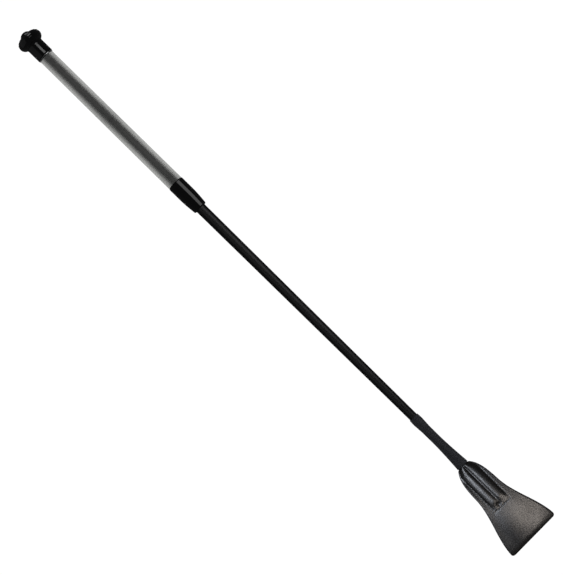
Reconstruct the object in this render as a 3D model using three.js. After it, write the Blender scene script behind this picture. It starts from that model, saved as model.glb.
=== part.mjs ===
// Riding crop, built as the parts it comes apart into.
// Millimetres, +Z up. The crop lies along X with the butt end at -X and the leather flap at +X.
// The origin is under the middle of its length, level with the lowest point of the butt cap.

import * as THREE from 'three';

// ---------- fits ----------
const FIT_GAP = 0.3; // between two pieces that are glued, pressed or wound together
const SLIDE_GAP = 0.25; // around the skived leather tails, which are the tightest fit
const LAYER_GAP = 0.3; // between the two leather layers of the flap
const ROUND_STEPS = 32; // facets round every turned piece, alike so that fits stay even

// ---------- shaft ----------
const ROD_BUTT_RADIUS = 4.05; // solid glass-fibre rod, parallel inside the handle
const ROD_TIP_RADIUS = 3.0; // and tapered from the ferrule to the tip
const BRAID_WALL = 0.75;
const EXPOSED_SHAFT = 270; // braided length between ferrule and whipping
const BRAID_UNDER_WHIPPING = 9;

// ---------- handle ----------
const GRIP_LENGTH = 165;
const GRIP_FERRULE_RADIUS = 7.8; // outside of the grip where it meets the ferrule
const GRIP_CAP_RADIUS = 7.45; // outside of the grip where it meets the butt cap
const GRIP_WALL = 0.9;
const SPIGOT_WALL = 1.55; // ends of the grip former, which the ferrule and the cap push onto
const SPIGOT_LENGTH = 9;

const FERRULE_LENGTH = 31.8;
const FERRULE_SHOULDER_WALL = 1.4; // plastic round the shaft at the narrow end
const FERRULE_PROUD = 0.25; // step up from the grip
const FERRULE_TAPER = 19; // length over which the ferrule grows to its full radius
const FERRULE_ROUND = 1.1; // rounding of the shoulder at the narrow end

const RING_WIDTH = 0.8;
const RING_PROUD = 0.35; // how far the trim ring stands above the grip

// ---------- butt cap ----------
const CAP_PROUD = 0.75; // step up from the grip to the neck of the cap
const CAP_LENGTH = 25.3;
const BULB_RADIUS = 12.3;
const BULB_ROUND = 5.4; // radius of the bulb's own section
const BULB_FILLET = 2.5; // hollow round between neck and bulb
const CAP_STEP_RADIUS = 8.6; // shallow step round the end face
const CAP_STEP_DEPTH = 0.4;
const STEM_RADIUS = 1.3;
const STEM_LENGTH = 8;
const BUTTON_RADIUS = 5.8;
const BUTTON_HEIGHT = 4;

// ---------- whipping ----------
const WHIPPING_LENGTH = 62;
const THREAD_WALL = 0.4;
const WHIPPING_NECK_HALF_WIDTH = 6.2; // the whipping ends as a flat oval over the flap's neck
const WHIPPING_NECK_HALF_DEPTH = 4.6;
const WHIPPING_FLARE = 32; // length over which it widens
const WHIPPING_FLARE_POWER = 1.5; // over 1 keeps the widening for the end
const WHIPPING_STEPS = 13;

// ---------- flap ----------
const FLAP_LENGTH = 89.7;
const LEATHER = 1.3;
const TAIL_LEATHER = 0.5; // leather is skived to this under the whipping
const TAIL_TO_BRAID = 2; // a tail stops this far short of the end of the braid
const NEARLY_FLAT = 1e-3; // least arc of a leather layer, so that its radius stays finite
const TAIL_WRAP = THREE.MathUtils.degToRad(75); // half the arc that each tail lies round the rod
const TAIL_SPREAD = 18; // length over which a tail opens out flat
const SKIVE_LENGTH = 12; // length over which the leather thins towards the tail
const FLAP_NECK_HALF = 4.9;
const FLAP_WAIST_HALF = 14.3;
const FLAP_EDGE_HALF = 27;
const FLAP_SHOULDER = 9; // how fast the shoulders swell
const FLAP_FLARE_START = 30;
const FLAP_CORNER = 3;

const TONGUE_START = -12; // stiffening tongues, measured from the neck of the flap
const TONGUE_END = 46;
const TONGUE_OFFSET = 4.4;
const TONGUE_HALF_WIDTH = 3.6;
const TONGUE_HALF_DEPTH = 1.15;
const TONGUE_MARGIN = 2.5; // leather beside a tongue where the neck is narrow
const GROOVE_HALF = 0.2; // half width of the groove between the ridges
const RIDGE_FULLNESS = 0.8; // under 1 fills the ridges out
const TONGUE_NOSE = 6; // length over which each end thins out
const TONGUE_NOSE_SHARE = 0.3; // of the full thickness, left at the very end
const TONGUE_RIM = 0.12; // half thickness of a tongue at its sides
const RIDGE_RUN_OUT = 2.8; // the leather comes down this far past a tongue
const ROD_BEFORE_TONGUE = 4;

const TAIL_STEPS = 11; // grid of a leather layer along its tail, its ridges and the land beyond
const FLAP_STEPS = 10;
const LAND_STEPS = 1;
const RIDGE_STEPS = 5; // and on each side of the middle, over the ridge and beside it
const MARGIN_STEPS = 2;

const SEAM_OFFSET = 9.4;
const SEAM_START = 13.5;
const SEAM_CROSS = 50;
const SEAM_CORNER = 2.2;
const SEAM_THREAD_RADIUS = 0.3;
const SEAM_THREAD_LIFT = 0.2;

const FLEX_AT = 53.5; // the flap bends just past the cross seam
const FLEX_GAP = 0.3;
const FLEX_BEVEL = Math.tan(THREE.MathUtils.degToRad(38)); // half the bend to each side

// ---------- stations along the crop, from the butt end ----------
const CAP_END = BUTTON_HEIGHT;
const CAP_OPEN = CAP_END + CAP_LENGTH;
const RING_START = CAP_OPEN + FIT_GAP;
const GRIP_START = RING_START + RING_WIDTH + FIT_GAP;
const GRIP_END = GRIP_START + GRIP_LENGTH;
const FERRULE_START = GRIP_END + FIT_GAP;
const FERRULE_END = FERRULE_START + FERRULE_LENGTH;
const WHIPPING_START = FERRULE_END + EXPOSED_SHAFT;
const NECK = WHIPPING_START + WHIPPING_LENGTH;
const ROD_START = CAP_OPEN - SPIGOT_LENGTH;
const ROD_END = NECK + TONGUE_START - ROD_BEFORE_TONGUE;
const TOTAL_LENGTH = NECK + FLAP_LENGTH;

const TAIL_LENGTH = WHIPPING_LENGTH - BRAID_UNDER_WHIPPING - TAIL_TO_BRAID;

const GRIP_FORMER_GAP = GRIP_WALL + FIT_GAP;
const SPIGOT_RADIUS = ROD_BUTT_RADIUS + FIT_GAP + SPIGOT_WALL;
const SPIGOT_BORE = SPIGOT_RADIUS + FIT_GAP;
const SHAFT_BORE = ROD_BUTT_RADIUS + FIT_GAP + BRAID_WALL + FIT_GAP;
const FERRULE_SHOULDER_RADIUS = SHAFT_BORE + FERRULE_SHOULDER_WALL;
const FERRULE_RADIUS = GRIP_FERRULE_RADIUS + FERRULE_PROUD;
const CAP_NECK_RADIUS = GRIP_CAP_RADIUS + CAP_PROUD;
const LAYER_HALF_GAP = LAYER_GAP / 2;
const OUTER_FACE = LAYER_HALF_GAP + LEATHER;

// ---------- materials ----------
function finish(color, roughness, metalness) {
  return new THREE.MeshStandardMaterial({ color, roughness, metalness });
}

const GLASS_FIBRE = finish(0x8f8c7a, 0.45, 0);
const BLACK_BRAID = finish(0x1a1a1b, 0.6, 0);
const BLACK_PLASTIC = finish(0x0c0c0d, 0.15, 0);
const GREY_PLASTIC = finish(0x6d6f70, 0.6, 0);
const SILVER_SLEEVE = finish(0xa9aaa6, 0.4, 0.7);
const BRIGHT_RING = finish(0xb9bbba, 0.3, 1);
const CHARCOAL_THREAD = finish(0x2b2d31, 0.8, 0);
const BLACK_LEATHER = finish(0x2a2827, 0.5, 0);
const BLACK_THREAD = finish(0x101011, 0.7, 0);

// ---------- shaping tools ----------
function smoothstep(value) {
  return THREE.MathUtils.smoothstep(value, 0, 1);
}

function mix(from, to, share) {
  return THREE.MathUtils.lerp(from, to, share);
}

// Turns a closed [station, radius] profile round the X axis. The outside runs towards +X.
function turned(profile) {
  const points = profile.map(([station, radius]) => new THREE.Vector2(radius, station));
  return new THREE.LatheGeometry(points, ROUND_STEPS).rotateZ(-Math.PI / 2);
}

// A tube's profile: the outside in order of station, then the bore back to the start.
function tubeProfile(outside, bore) {
  return [...outside, ...bore.slice().reverse(), outside[0]];
}

// Points on an arc in the station-radius plane, angles measured from +X.
function arc(station, radius, size, from, to, steps) {
  const curve = new THREE.EllipseCurve(station, radius, size, size, from, to, to < from, 0);
  return curve.getPoints(steps).map((point) => [point.x, point.y]);
}

// Stations and radii of a round stretch whose radius is a function of the station.
function sampled(from, to, steps, radiusAt) {
  return Array.from({ length: steps + 1 }, (_, i) => {
    const station = mix(from, to, i / steps);
    return [station, radiusAt(station)];
  });
}

// A slab bent by place(along 0..1, across -1..1, depth 0..1), which returns a Vector3.
function slab(lengthSteps, widthSteps, place) {
  const geometry = new THREE.BoxGeometry(1, 1, 1, lengthSteps, widthSteps, 1);
  const position = geometry.attributes.position;
  for (let i = 0; i < position.count; i += 1) {
    const along = position.getX(i) + 0.5;
    const across = 2 * position.getY(i);
    const depth = position.getZ(i) + 0.5;
    const point = place(along, across, depth);
    position.setXYZ(i, point.x, point.y, point.z);
  }
  return geometry;
}

// Number of grid steps in a row of [from, to, steps] stretches.
function stepCount(stretches) {
  return stretches.reduce((sum, [, , steps]) => sum + steps, 0);
}

// The place at a share of those steps, so that a grid line falls on the end of each stretch.
function stationAt(along, stretches) {
  let step = along * stepCount(stretches);
  for (const [from, to, steps] of stretches) {
    if (step <= steps) {
      return mix(from, to, step / steps);
    }
    step -= steps;
  }
  return stretches.at(-1)[1];
}

// The same piece on the underside of the crop.
function turnedOver(geometry) {
  return geometry.rotateX(Math.PI);
}

// ---------- shaft pieces ----------
function rodRadius(station) {
  const share = THREE.MathUtils.clamp((station - FERRULE_END) / (ROD_END - FERRULE_END), 0, 1);
  return mix(ROD_BUTT_RADIUS, ROD_TIP_RADIUS, share);
}

function braidRadius(station) {
  return rodRadius(station) + FIT_GAP + BRAID_WALL;
}

function coreRod() {
  return turned([
    [ROD_START, 0],
    [ROD_START, ROD_BUTT_RADIUS],
    [FERRULE_END, ROD_BUTT_RADIUS],
    [ROD_END, ROD_TIP_RADIUS],
    [ROD_END, 0],
  ]);
}

function braidCover() {
  const start = GRIP_END + SPIGOT_LENGTH + FIT_GAP;
  const stations = [start, FERRULE_END, WHIPPING_START + BRAID_UNDER_WHIPPING];
  const outside = stations.map((station) => [station, braidRadius(station)]);
  const bore = stations.map((station) => [station, rodRadius(station) + FIT_GAP]);
  return turned(tubeProfile(outside, bore));
}

// ---------- handle pieces ----------
function gripRadius(station) {
  return mix(GRIP_CAP_RADIUS, GRIP_FERRULE_RADIUS, (station - GRIP_START) / GRIP_LENGTH);
}

function gripFormer() {
  const start = CAP_OPEN - SPIGOT_LENGTH;
  const end = GRIP_END + SPIGOT_LENGTH;
  const bore = ROD_BUTT_RADIUS + FIT_GAP;
  const outside = [
    [start, SPIGOT_RADIUS],
    [GRIP_START, SPIGOT_RADIUS],
    [GRIP_START, gripRadius(GRIP_START) - GRIP_FORMER_GAP],
    [GRIP_END, gripRadius(GRIP_END) - GRIP_FORMER_GAP],
    [GRIP_END, SPIGOT_RADIUS],
    [end, SPIGOT_RADIUS],
  ];
  return turned(tubeProfile(outside, [[start, bore], [end, bore]]));
}

function gripCover() {
  const ends = [GRIP_START, GRIP_END];
  const outside = ends.map((station) => [station, gripRadius(station)]);
  const bore = ends.map((station) => [station, gripRadius(station) - GRIP_WALL]);
  return turned(tubeProfile(outside, bore));
}

function trimRing() {
  const end = RING_START + RING_WIDTH;
  const crown = GRIP_CAP_RADIUS + RING_PROUD;
  const side = GRIP_CAP_RADIUS;
  const outside = [
    [RING_START, side],
    [mix(RING_START, end, 0.25), crown],
    [mix(RING_START, end, 0.75), crown],
    [end, side],
  ];
  return turned(tubeProfile(outside, [[RING_START, SPIGOT_BORE], [end, SPIGOT_BORE]]));
}

function ferruleRadius(station) {
  const share = Math.min(1, (FERRULE_END - station) / FERRULE_TAPER);
  return mix(FERRULE_SHOULDER_RADIUS, FERRULE_RADIUS, Math.sin((share * Math.PI) / 2));
}

function ferrule() {
  const spigotEnd = GRIP_END + SPIGOT_LENGTH + FIT_GAP;
  const roundStart = FERRULE_END - FERRULE_ROUND;
  const roundCentre = ferruleRadius(roundStart) - FERRULE_ROUND;
  const outside = [
    [FERRULE_START, FERRULE_RADIUS],
    ...sampled(FERRULE_END - FERRULE_TAPER, roundStart, 6, ferruleRadius),
    ...arc(roundStart, roundCentre, FERRULE_ROUND, Math.PI / 2, 0, 4).slice(1),
  ];
  const bore = [
    [FERRULE_START, SPIGOT_BORE],
    [spigotEnd, SPIGOT_BORE],
    [spigotEnd, SHAFT_BORE],
    [FERRULE_END, SHAFT_BORE],
  ];
  return turned(tubeProfile(outside, bore));
}

// ---------- butt cap ----------
// The bulb's end side, its crown, the hollow fillet and the neck, in order of station.
function capOutside() {
  const bulbCentre = BULB_RADIUS - BULB_ROUND;
  const bulbStation = CAP_END + BULB_ROUND;
  const filletCentre = CAP_NECK_RADIUS + BULB_FILLET;
  const reach = BULB_ROUND + BULB_FILLET;
  const rise = filletCentre - bulbCentre;
  const filletStation = bulbStation + Math.sqrt(reach * reach - rise * rise);
  const touch = Math.atan2(rise, filletStation - bulbStation);
  const stepAngle = Math.PI - Math.asin((CAP_STEP_RADIUS - bulbCentre) / BULB_ROUND);
  const stepStation = bulbStation + BULB_ROUND * Math.cos(stepAngle);
  return [
    [stepStation - CAP_STEP_DEPTH, CAP_STEP_RADIUS],
    ...arc(bulbStation, bulbCentre, BULB_ROUND, stepAngle, Math.PI / 2, 5),
    ...arc(bulbStation, bulbCentre, BULB_ROUND, Math.PI / 2, touch, 5).slice(1),
    ...arc(filletStation, filletCentre, BULB_FILLET, Math.PI + touch, 1.5 * Math.PI, 4).slice(1),
    [CAP_OPEN, CAP_NECK_RADIUS],
  ];
}

function endCap() {
  const outside = capOutside();
  const [faceStation] = outside[0];
  const boreEnd = CAP_OPEN - SPIGOT_LENGTH - FIT_GAP;
  const stemBore = STEM_RADIUS + FIT_GAP;
  const bore = [
    [faceStation, stemBore],
    [boreEnd, stemBore],
    [boreEnd, SPIGOT_BORE],
    [CAP_OPEN, SPIGOT_BORE],
  ];
  return turned(tubeProfile(outside, bore));
}

function capButton() {
  const [faceStation] = capOutside()[0];
  const base = faceStation - FIT_GAP;
  const sphere = (BUTTON_RADIUS ** 2 + base ** 2) / (2 * base);
  const half = Math.asin(BUTTON_RADIUS / sphere);
  return turned([
    ...arc(sphere, 0, sphere, Math.PI, Math.PI - half, 7),
    [base, STEM_RADIUS],
    [base + STEM_LENGTH, STEM_RADIUS],
    [base + STEM_LENGTH, 0],
  ]);
}

// ---------- whipping ----------
// The thread lies on the braid first, then on the leather tails round the bare rod.
function whippingDepth(station) {
  const run = station - WHIPPING_START;
  const overBraid = braidRadius(station) + SLIDE_GAP;
  const overTails = rodRadius(NECK - TAIL_LENGTH) + SLIDE_GAP + TAIL_LEATHER + SLIDE_GAP;
  const leaveBraid = smoothstep((run - BRAID_UNDER_WHIPPING - FIT_GAP) / BRAID_UNDER_WHIPPING);
  const bulk = smoothstep((run - WHIPPING_LENGTH + WHIPPING_FLARE) / WHIPPING_FLARE);
  const inner = mix(overBraid, overTails, leaveBraid);
  return mix(inner, WHIPPING_NECK_HALF_DEPTH - THREAD_WALL, bulk);
}

function whippingSpread(station) {
  const run = station - WHIPPING_START;
  const share = Math.max(0, (run - WHIPPING_LENGTH + WHIPPING_FLARE) / WHIPPING_FLARE);
  return mix(1, WHIPPING_NECK_HALF_WIDTH / WHIPPING_NECK_HALF_DEPTH, share ** WHIPPING_FLARE_POWER);
}

function whippingThread() {
  const bore = sampled(WHIPPING_START, NECK, WHIPPING_STEPS, whippingDepth);
  const outside = bore.map(([station, radius]) => [station, radius + THREAD_WALL]);
  const geometry = turned(tubeProfile(outside, bore));
  const position = geometry.attributes.position;
  for (let i = 0; i < position.count; i += 1) {
    position.setY(i, position.getY(i) * whippingSpread(position.getX(i)));
  }
  return geometry;
}

// ---------- flap ----------
// Half width of the flap, run being measured from its neck.
function flapHalf(run) {
  const shoulder = 1 - Math.exp(-Math.max(run, 0) / FLAP_SHOULDER);
  const flare = smoothstep((run - FLAP_FLARE_START) / (FLAP_LENGTH - FLAP_FLARE_START));
  const waist = mix(FLAP_NECK_HALF, FLAP_WAIST_HALF, shoulder);
  const half = waist + (FLAP_EDGE_HALF - FLAP_WAIST_HALF) * flare;
  const corner = Math.max(0, run - (FLAP_LENGTH - FLAP_CORNER));
  return half - FLAP_CORNER + Math.sqrt(Math.max(0, FLAP_CORNER ** 2 - corner ** 2));
}

// The tongues draw together where the neck is narrow.
function tongueScale(run) {
  return Math.min(1, flapHalf(run) / (TONGUE_OFFSET + TONGUE_HALF_WIDTH + TONGUE_MARGIN));
}

// How far from the middle the leather is lifted.
function ridgeReach(run) {
  return (2 * TONGUE_OFFSET + GROOVE_HALF) * tongueScale(run);
}

// Half thickness of a tongue at a distance y from the middle of the flap.
function tongueHalfDepth(run, y) {
  const scale = tongueScale(run);
  const side = (Math.abs(y) - TONGUE_OFFSET * scale) / (TONGUE_HALF_WIDTH * scale);
  return TONGUE_HALF_DEPTH * Math.sqrt(Math.max(0, 1 - side * side));
}

// How far the leather is lifted by the tongues: two rounded ridges with a groove between.
function ridge(run, y) {
  const scale = tongueScale(run);
  const side = (Math.abs(y) / scale - TONGUE_OFFSET) / (TONGUE_OFFSET + GROOVE_HALF);
  const lobe = Math.cos(THREE.MathUtils.clamp(side, -1, 1) * (Math.PI / 2)) ** RIDGE_FULLNESS;
  const end = smoothstep((TONGUE_END + RIDGE_RUN_OUT - run) / RIDGE_RUN_OUT);
  return (TONGUE_HALF_DEPTH + FIT_GAP) * lobe * end;
}

// Share of the half width at a grid line, so that one line runs along the foot of each ridge.
function acrossShare(across, run) {
  const ridgeShare = RIDGE_STEPS / (RIDGE_STEPS + MARGIN_STEPS);
  const reach = ridgeReach(run) / flapHalf(run);
  const out = Math.abs(across);
  const beside = (out - ridgeShare) / (1 - ridgeShare);
  const share = out < ridgeShare ? (out / ridgeShare) * reach : mix(reach, 1, beside);
  return Math.sign(across) * share;
}

// One leather layer from the tip of its tail to the bending line.
function neckLayer() {
  const wrapRadius = rodRadius(NECK - TAIL_LENGTH) + SLIDE_GAP;
  const ridgeFoot = TONGUE_END + RIDGE_RUN_OUT;
  const stretches = (end) => [
    [-TAIL_LENGTH, 0, TAIL_STEPS],
    [0, ridgeFoot, FLAP_STEPS],
    [ridgeFoot, end, LAND_STEPS],
  ];
  const widthSteps = 2 * (RIDGE_STEPS + MARGIN_STEPS);
  return slab(stepCount(stretches(0)), widthSteps, (along, across, depth) => {
    const face = mix(LAYER_HALF_GAP, OUTER_FACE, depth);
    const end = FLEX_AT - FLEX_GAP - face * FLEX_BEVEL;
    const run = stationAt(along, stretches(end));
    const flat = smoothstep((run + TAIL_SPREAD) / TAIL_SPREAD);
    const wrap = TAIL_WRAP * (1 - flat) + NEARLY_FLAT;
    const half = run < 0 ? mix(wrapRadius * TAIL_WRAP, FLAP_NECK_HALF, flat) : flapHalf(run);
    const radius = half / wrap;
    const skive = smoothstep((run + SKIVE_LENGTH) / SKIVE_LENGTH);
    const thick = mix(TAIL_LEATHER, LEATHER, skive) * depth;
    const angle = wrap * acrossShare(across, run);
    const y = (radius + thick) * Math.sin(angle);
    const top = mix(wrapRadius, LAYER_HALF_GAP, flat);
    const z = top - radius + (radius + thick) * Math.cos(angle) + flat * ridge(run, y);
    return new THREE.Vector3(NECK + run, y, z);
  });
}

// A lens-shaped leather tongue; side is -1 or 1.
function tongueStrip(side) {
  const stretches = [[TONGUE_START, 0, 3], [0, TONGUE_END, 11]];
  return slab(stepCount(stretches), 6, (along, across, depth) => {
    const run = stationAt(along, stretches);
    const scale = tongueScale(run);
    const round = Math.sin((across * Math.PI) / 2);
    const y = side * (TONGUE_OFFSET + side * round * TONGUE_HALF_WIDTH) * scale;
    const nose = smoothstep(Math.min(run - TONGUE_START, TONGUE_END - run) / TONGUE_NOSE);
    const full = Math.max(tongueHalfDepth(run, y), TONGUE_RIM);
    const thick = full * mix(TONGUE_NOSE_SHARE, 1, nose);
    return new THREE.Vector3(NECK + run, y, (2 * depth - 1) * thick);
  });
}

// The blade is one sheet folded at the wide edge, bevelled where it bends at the cross seam.
function flapBlade() {
  const foldCentre = FLAP_LENGTH - OUTER_FACE;
  return slab(18, 8, (along, across, depth) => {
    const face = mix(LAYER_HALF_GAP, OUTER_FACE, depth);
    const start = FLEX_AT + FLEX_GAP + face * FLEX_BEVEL;
    const third = along * 3;
    let run = mix(start, foldCentre, third);
    let z = face;
    if (third > 1) {
      const turn = Math.PI * (0.5 - Math.min(third - 1, 1));
      run = foldCentre + face * Math.cos(turn);
      z = face * Math.sin(turn);
    }
    if (third > 2) {
      run = mix(foldCentre, start, third - 2);
    }
    return new THREE.Vector3(NECK + run, across * flapHalf(run), z);
  });
}

// The U-shaped seam lies on the leather as one thread.
function seamThread() {
  const z = OUTER_FACE + SEAM_THREAD_LIFT + SEAM_THREAD_RADIUS;
  const at = (run, y) => new THREE.Vector3(NECK + run, y, z);
  const inner = SEAM_CROSS - SEAM_CORNER;
  const low = SEAM_OFFSET - SEAM_CORNER;
  const path = new THREE.CurvePath();
  path.add(new THREE.LineCurve3(at(SEAM_START, SEAM_OFFSET), at(inner, SEAM_OFFSET)));
  path.add(new THREE.QuadraticBezierCurve3(
    at(inner, SEAM_OFFSET), at(SEAM_CROSS, SEAM_OFFSET), at(SEAM_CROSS, low)));
  path.add(new THREE.LineCurve3(at(SEAM_CROSS, low), at(SEAM_CROSS, -low)));
  path.add(new THREE.QuadraticBezierCurve3(
    at(SEAM_CROSS, -low), at(SEAM_CROSS, -SEAM_OFFSET), at(inner, -SEAM_OFFSET)));
  path.add(new THREE.LineCurve3(at(inner, -SEAM_OFFSET), at(SEAM_START, -SEAM_OFFSET)));
  const section = new THREE.Shape().absarc(0, 0, SEAM_THREAD_RADIUS, 0, 2 * Math.PI);
  return new THREE.ExtrudeGeometry(section, { steps: 44, curveSegments: 4, extrudePath: path });
}

// ---------- assembly ----------
function piece(name, geometry, material) {
  const mesh = new THREE.Mesh(geometry, material);
  mesh.name = name;
  return mesh;
}

function handle() {
  return new THREE.Group().add(
    piece('cap_button', capButton(), BLACK_PLASTIC),
    piece('end_cap', endCap(), BLACK_PLASTIC),
    piece('trim_ring', trimRing(), BRIGHT_RING),
    piece('grip_former', gripFormer(), GREY_PLASTIC),
    piece('grip_cover', gripCover(), SILVER_SLEEVE),
    piece('ferrule', ferrule(), BLACK_PLASTIC),
  );
}

function shaft() {
  return new THREE.Group().add(
    piece('core_rod', coreRod(), GLASS_FIBRE),
    piece('braid_cover', braidCover(), BLACK_BRAID),
    piece('whipping_thread', whippingThread(), CHARCOAL_THREAD),
  );
}

function flap() {
  return new THREE.Group().add(
    piece('flap_neck_front', neckLayer(), BLACK_LEATHER),
    piece('flap_neck_back', turnedOver(neckLayer()), BLACK_LEATHER),
    piece('tongue_strip_left', tongueStrip(1), BLACK_LEATHER),
    piece('tongue_strip_right', tongueStrip(-1), BLACK_LEATHER),
    piece('seam_thread_front', seamThread(), BLACK_THREAD),
    piece('seam_thread_back', turnedOver(seamThread()), BLACK_THREAD),
    piece('flap_blade', flapBlade(), BLACK_LEATHER),
  );
}

const crop = new THREE.Group().add(handle(), shaft(), flap());
crop.position.set(-TOTAL_LENGTH / 2, 0, BULB_RADIUS);

export default crop;
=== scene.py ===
"""Riding crop: fine surfaces, finishes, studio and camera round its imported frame."""

import logging
import math
from dataclasses import dataclass, field
from enum import Enum

import bmesh
import bpy
import numpy as np
from mathutils import Matrix, Vector


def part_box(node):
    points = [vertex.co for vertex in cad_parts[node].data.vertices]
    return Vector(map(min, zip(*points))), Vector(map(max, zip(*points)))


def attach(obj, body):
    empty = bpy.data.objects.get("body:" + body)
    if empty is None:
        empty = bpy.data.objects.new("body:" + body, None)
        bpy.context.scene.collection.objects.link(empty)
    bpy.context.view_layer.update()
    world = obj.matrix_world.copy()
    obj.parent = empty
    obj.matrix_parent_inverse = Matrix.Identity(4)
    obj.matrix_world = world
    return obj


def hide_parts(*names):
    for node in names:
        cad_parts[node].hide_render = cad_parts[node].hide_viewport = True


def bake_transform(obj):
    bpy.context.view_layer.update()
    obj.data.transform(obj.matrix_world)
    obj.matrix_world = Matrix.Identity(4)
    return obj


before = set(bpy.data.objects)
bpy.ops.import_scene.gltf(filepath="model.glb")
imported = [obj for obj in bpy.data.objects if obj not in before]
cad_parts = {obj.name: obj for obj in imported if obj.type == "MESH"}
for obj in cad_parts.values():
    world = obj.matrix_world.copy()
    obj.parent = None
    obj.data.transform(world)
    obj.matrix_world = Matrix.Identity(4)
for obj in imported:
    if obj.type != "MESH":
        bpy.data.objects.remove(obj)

LOG = logging.getLogger("riding_crop")
MM = 0.001
TINY = 1e-6
MERGE_DISTANCE = 1e-7
STRAND_FULLNESS = 0.6
CROP_BODY = "crop_body"


@dataclass(frozen=True)
class Fits:
    """Sizes in millimetres that neighbouring parts share."""

    gap: float = 0.3
    spigot_bore: float = 6.2
    spigot_length: float = 9.0
    tail_leather: float = 0.5
    tail_length: float = 51.0


FITS = Fits()


# ---------------------------------------------------------------- small tools


def smoothstep(value: np.ndarray | float) -> np.ndarray:
    """Returns 0 below 0, 1 above 1, and 3v^2 - 2v^3 between."""
    share = np.clip(value, 0.0, 1.0)
    return share * share * (3.0 - 2.0 * share)


def mix(low: float, high: float, share: np.ndarray | float) -> np.ndarray:
    """Returns the value that lies at a share of the way from low to high."""
    return low + (high - low) * share


def bell(distance: np.ndarray, width: float) -> np.ndarray:
    """Returns exp(-(distance / width)^2), a soft bump one width wide."""
    return np.exp(-((distance / width) ** 2))


def span(node: str) -> tuple[float, float]:
    """Returns where a node of the frame begins and ends along the crop, in millimetres."""
    low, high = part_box(node)
    return low.x / MM, high.x / MM


def outer_radius(node: str) -> float:
    """Returns half the height of a round node of the frame, in millimetres."""
    low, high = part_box(node)
    return (high.z - low.z) / 2 / MM


def axis_height() -> float:
    """Returns the height of the crop's own axis above the lowest point, in metres."""
    low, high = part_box("end_cap")
    return (low.z + high.z) / 2


def linear(hex_colour: str) -> tuple[float, float, float, float]:
    """Turns an sRGB hex colour into linear light.

    Args:
        hex_colour: Six hex digits, red first.

    Returns:
        Red, green, blue and alpha, each from 0 to 1.
    """
    values = np.array([int(hex_colour[i : i + 2], 16) for i in (0, 2, 4)]) / 255
    light = np.where(values <= 0.04045, values / 12.92, ((values + 0.055) / 1.055) ** 2.4)
    return (*[float(v) for v in light], 1.0)


# ---------------------------------------------------------------- mesh building


def corner_round(points: np.ndarray, radii: list[float], steps: int = 6) -> np.ndarray:
    """Rounds the corners of a polyline.

    Each corner C becomes the curve (1-t)^2 A + 2t(1-t) C + t^2 B, where A and B lie one
    radius before and after it. A corner with radius 0 stays sharp.

    Args:
        points: The corners, one row each.
        radii: One radius for each corner.
        steps: Steps along each rounded corner.

    Returns:
        The rounded polyline, one row for each point.
    """
    share = np.linspace(0, 1, steps + 1)[:, None]
    parts = []
    for i, (corner, radius) in enumerate(zip(points, radii)):
        if radius == 0:
            parts.append(corner[None, :])
            continue
        before, after = points[i - 1] - corner, points[(i + 1) % len(points)] - corner
        start = corner + before / np.linalg.norm(before) * radius
        end = corner + after / np.linalg.norm(after) * radius
        curve = (1 - share) ** 2 * start + 2 * share * (1 - share) * corner + share**2 * end
        parts.append(curve)
    return np.concatenate(parts)


def evenly(points: np.ndarray, spacing: float) -> np.ndarray:
    """Adds points along a polyline so that no step is longer than the spacing.

    Args:
        points: The polyline, one row for each point.
        spacing: The longest step.

    Returns:
        The same line with its own corners kept.
    """
    gaps = np.linalg.norm(np.diff(points, axis=0), axis=1)
    keep = np.concatenate([[True], gaps > TINY])
    points, gaps = points[keep], gaps[gaps > TINY]
    length = np.concatenate([[0], np.cumsum(gaps)])
    extra = [
        np.linspace(a, b, max(1, math.ceil((b - a) / spacing)), endpoint=False)
        for a, b in zip(length[:-1], length[1:])
    ]
    stations = np.concatenate([*extra, length[-1:]])
    return np.stack([np.interp(stations, length, column) for column in points.T], axis=1)


def mesh_piece(
    name: str,
    points: np.ndarray,
    quads: np.ndarray,
    uv: np.ndarray | None = None,
    relief: np.ndarray | None = None,
) -> bpy.types.Object:
    """Puts whole arrays into a new mesh, closes its seams and poles and turns its faces out.

    Args:
        name: The piece's name.
        points: Vertices in millimetres, with z measured from the crop's axis.
        quads: Four vertex numbers for each face.
        uv: Two numbers for each corner of each face, in millimetres over the surface.
        relief: A number for each vertex, 0 in a hollow and 1 on a crown.

    Returns:
        The object, at the origin, with smooth faces.
    """
    mesh = bpy.data.meshes.new(name)
    metres = points * MM + np.array([0, 0, axis_height()])
    mesh.vertices.add(len(points))
    mesh.vertices.foreach_set("co", metres.astype(np.float32).ravel())
    mesh.loops.add(quads.size)
    mesh.loops.foreach_set("vertex_index", quads.astype(np.int32).ravel())
    mesh.polygons.add(len(quads))
    mesh.polygons.foreach_set("loop_start", np.arange(0, quads.size, 4, dtype=np.int32))
    mesh.update(calc_edges=True)
    if uv is not None:
        layer = mesh.uv_layers.new(name="surface_mm")
        layer.data.foreach_set("uv", uv.astype(np.float32).ravel())
    if relief is not None:
        attribute = mesh.attributes.new("relief", "FLOAT", "POINT")
        attribute.data.foreach_set("value", relief.astype(np.float32).ravel())
    shell = bmesh.new()
    shell.from_mesh(mesh)
    bmesh.ops.remove_doubles(shell, verts=shell.verts, dist=MERGE_DISTANCE)
    bmesh.ops.recalc_face_normals(shell, faces=shell.faces)
    shell.to_mesh(mesh)
    shell.free()
    mesh.shade_smooth()
    piece = bpy.data.objects.new(name, mesh)
    bpy.context.scene.collection.objects.link(piece)
    return piece


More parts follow.
